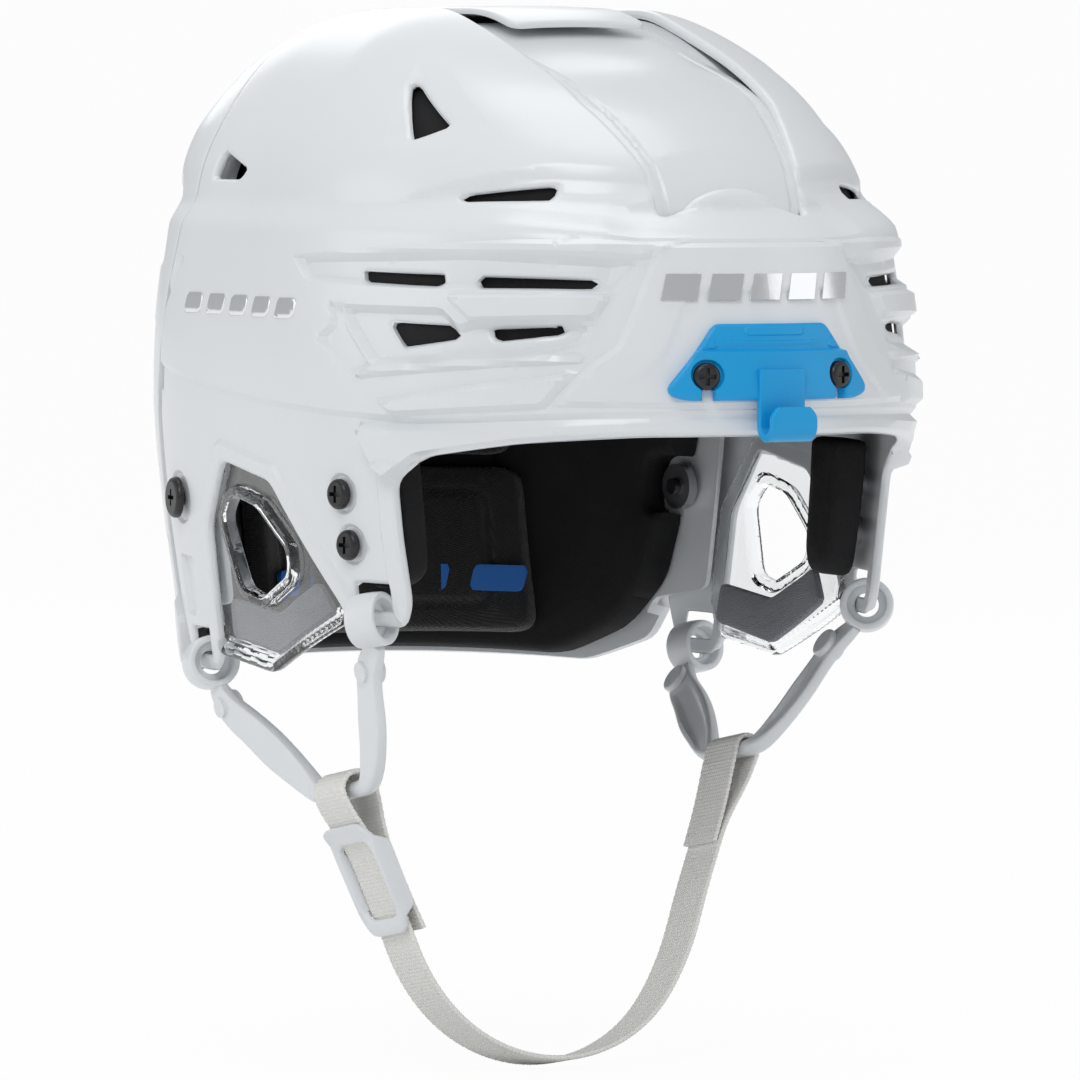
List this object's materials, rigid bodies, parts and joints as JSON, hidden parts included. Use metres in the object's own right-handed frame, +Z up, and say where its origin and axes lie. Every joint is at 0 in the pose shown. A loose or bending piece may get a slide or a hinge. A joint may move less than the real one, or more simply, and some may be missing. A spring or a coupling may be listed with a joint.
{
  "type": "ice hockey helmet",
  "caption": "Open-face ice hockey helmet with sliding rear shell, clear ear guards, plastic ear loops, webbing chin strap with slide buckle, and a front hook for a face guard.",
  "frame": {"origin": "in the middle plane, level with the lower edge of the brow, above the ear openings: the middle of the wearer's head at the brow band", "axes": "+Z up through the crown, -Y forward through the brow, +X to the wearer's left"},
  "size_m": [0.1936, 0.2919, 0.3146],
  "materials": {
    "shell_white": "satin white moulded plastic with slight gloss",
    "panel_white": "satin white moulded plastic, slightly greyer",
    "clip_blue": "bright blue moulded plastic",
    "screw_black": "black coated steel",
    "nut_metal": "plain steel",
    "trim_silver": "bright silver plate",
    "guard_clear": "clear polycarbonate",
    "ear_foam": "grey cloth-faced foam",
    "loop_white": "white moulded plastic",
    "stud_white": "white moulded plastic",
    "webbing_white": "white woven webbing with fine cross ribs",
    "buckle_white": "white moulded plastic",
    "liner_black": "black closed-cell foam",
    "pad_black": "black cloth-faced soft foam"
  },
  "bodies": {
    "helmet": {"front_shell": "shell_white", "crown_panel": "panel_white", "adjust_screws": "screw_black", "adjust_nuts": "nut_metal", "visor_screws": "screw_black", "visor_nuts": "nut_metal", "clip_screws": "screw_black", "clip_nuts": "nut_metal", "cage_hook": "clip_blue", "brow_trim": "trim_silver", "ear_guard_right": "guard_clear", "ear_guard_left": "guard_clear", "ear_pad_right": "ear_foam", "ear_pad_left": "ear_foam", "front_liner": "liner_black", "temple_pad_right": "liner_black", "temple_pad_left": "liner_black", "brow_pad": "pad_black", "crown_pad": "pad_black", "side_pad_right": "pad_black", "side_pad_left": "pad_black"},
    "rear": {"rear_shell": "shell_white", "rear_liner": "liner_black", "rear_pad": "pad_black", "occipital_pad": "pad_black"},
    "loop_left": {"ear_loop_left": "loop_white", "loop_studs_left": "stud_white"},
    "loop_right": {"ear_loop_right": "loop_white", "loop_studs_right": "stud_white"},
    "strap": {"chin_strap": "webbing_white"},
    "buckle": {"strap_buckle": "buckle_white"}
  },
  "joints": [
    {"name": "size_slide", "type": "slide", "parent": "helmet", "child": "rear", "axis": [0, 1, 0], "range_m": [0, 0.01]},
    {"name": "left_loop_swing", "type": "hinge", "parent": "helmet", "child": "loop_left", "pos_m": [0.0839, -0.00674, -0.0642], "axis": [0, 0.9835, -0.1806], "range_deg": [-10, 10]},
    {"name": "right_loop_swing", "type": "hinge", "parent": "helmet", "child": "loop_right", "pos_m": [-0.0839, -0.00674, -0.0642], "axis": [0, 0.9835, -0.1806], "range_deg": [-8, 8]},
    {"name": "strap_swing", "type": "hinge", "parent": "loop_left", "child": "strap", "pos_m": [0.05694, -0.02559, -0.09988], "axis": [0, 0.9835, -0.1806], "range_deg": [-13, 13]},
    {"name": "buckle_slide", "type": "slide", "parent": "strap", "child": "buckle", "axis": [0.342, -0.1697, -0.9242], "range_m": [0, 0.008]}
  ],
  "couplings": [
    {"joint": "right_loop_swing", "follows": "left_loop_swing", "ratio": 0.79},
    {"joint": "strap_swing", "follows": "left_loop_swing", "ratio": -1.25}
  ]
}
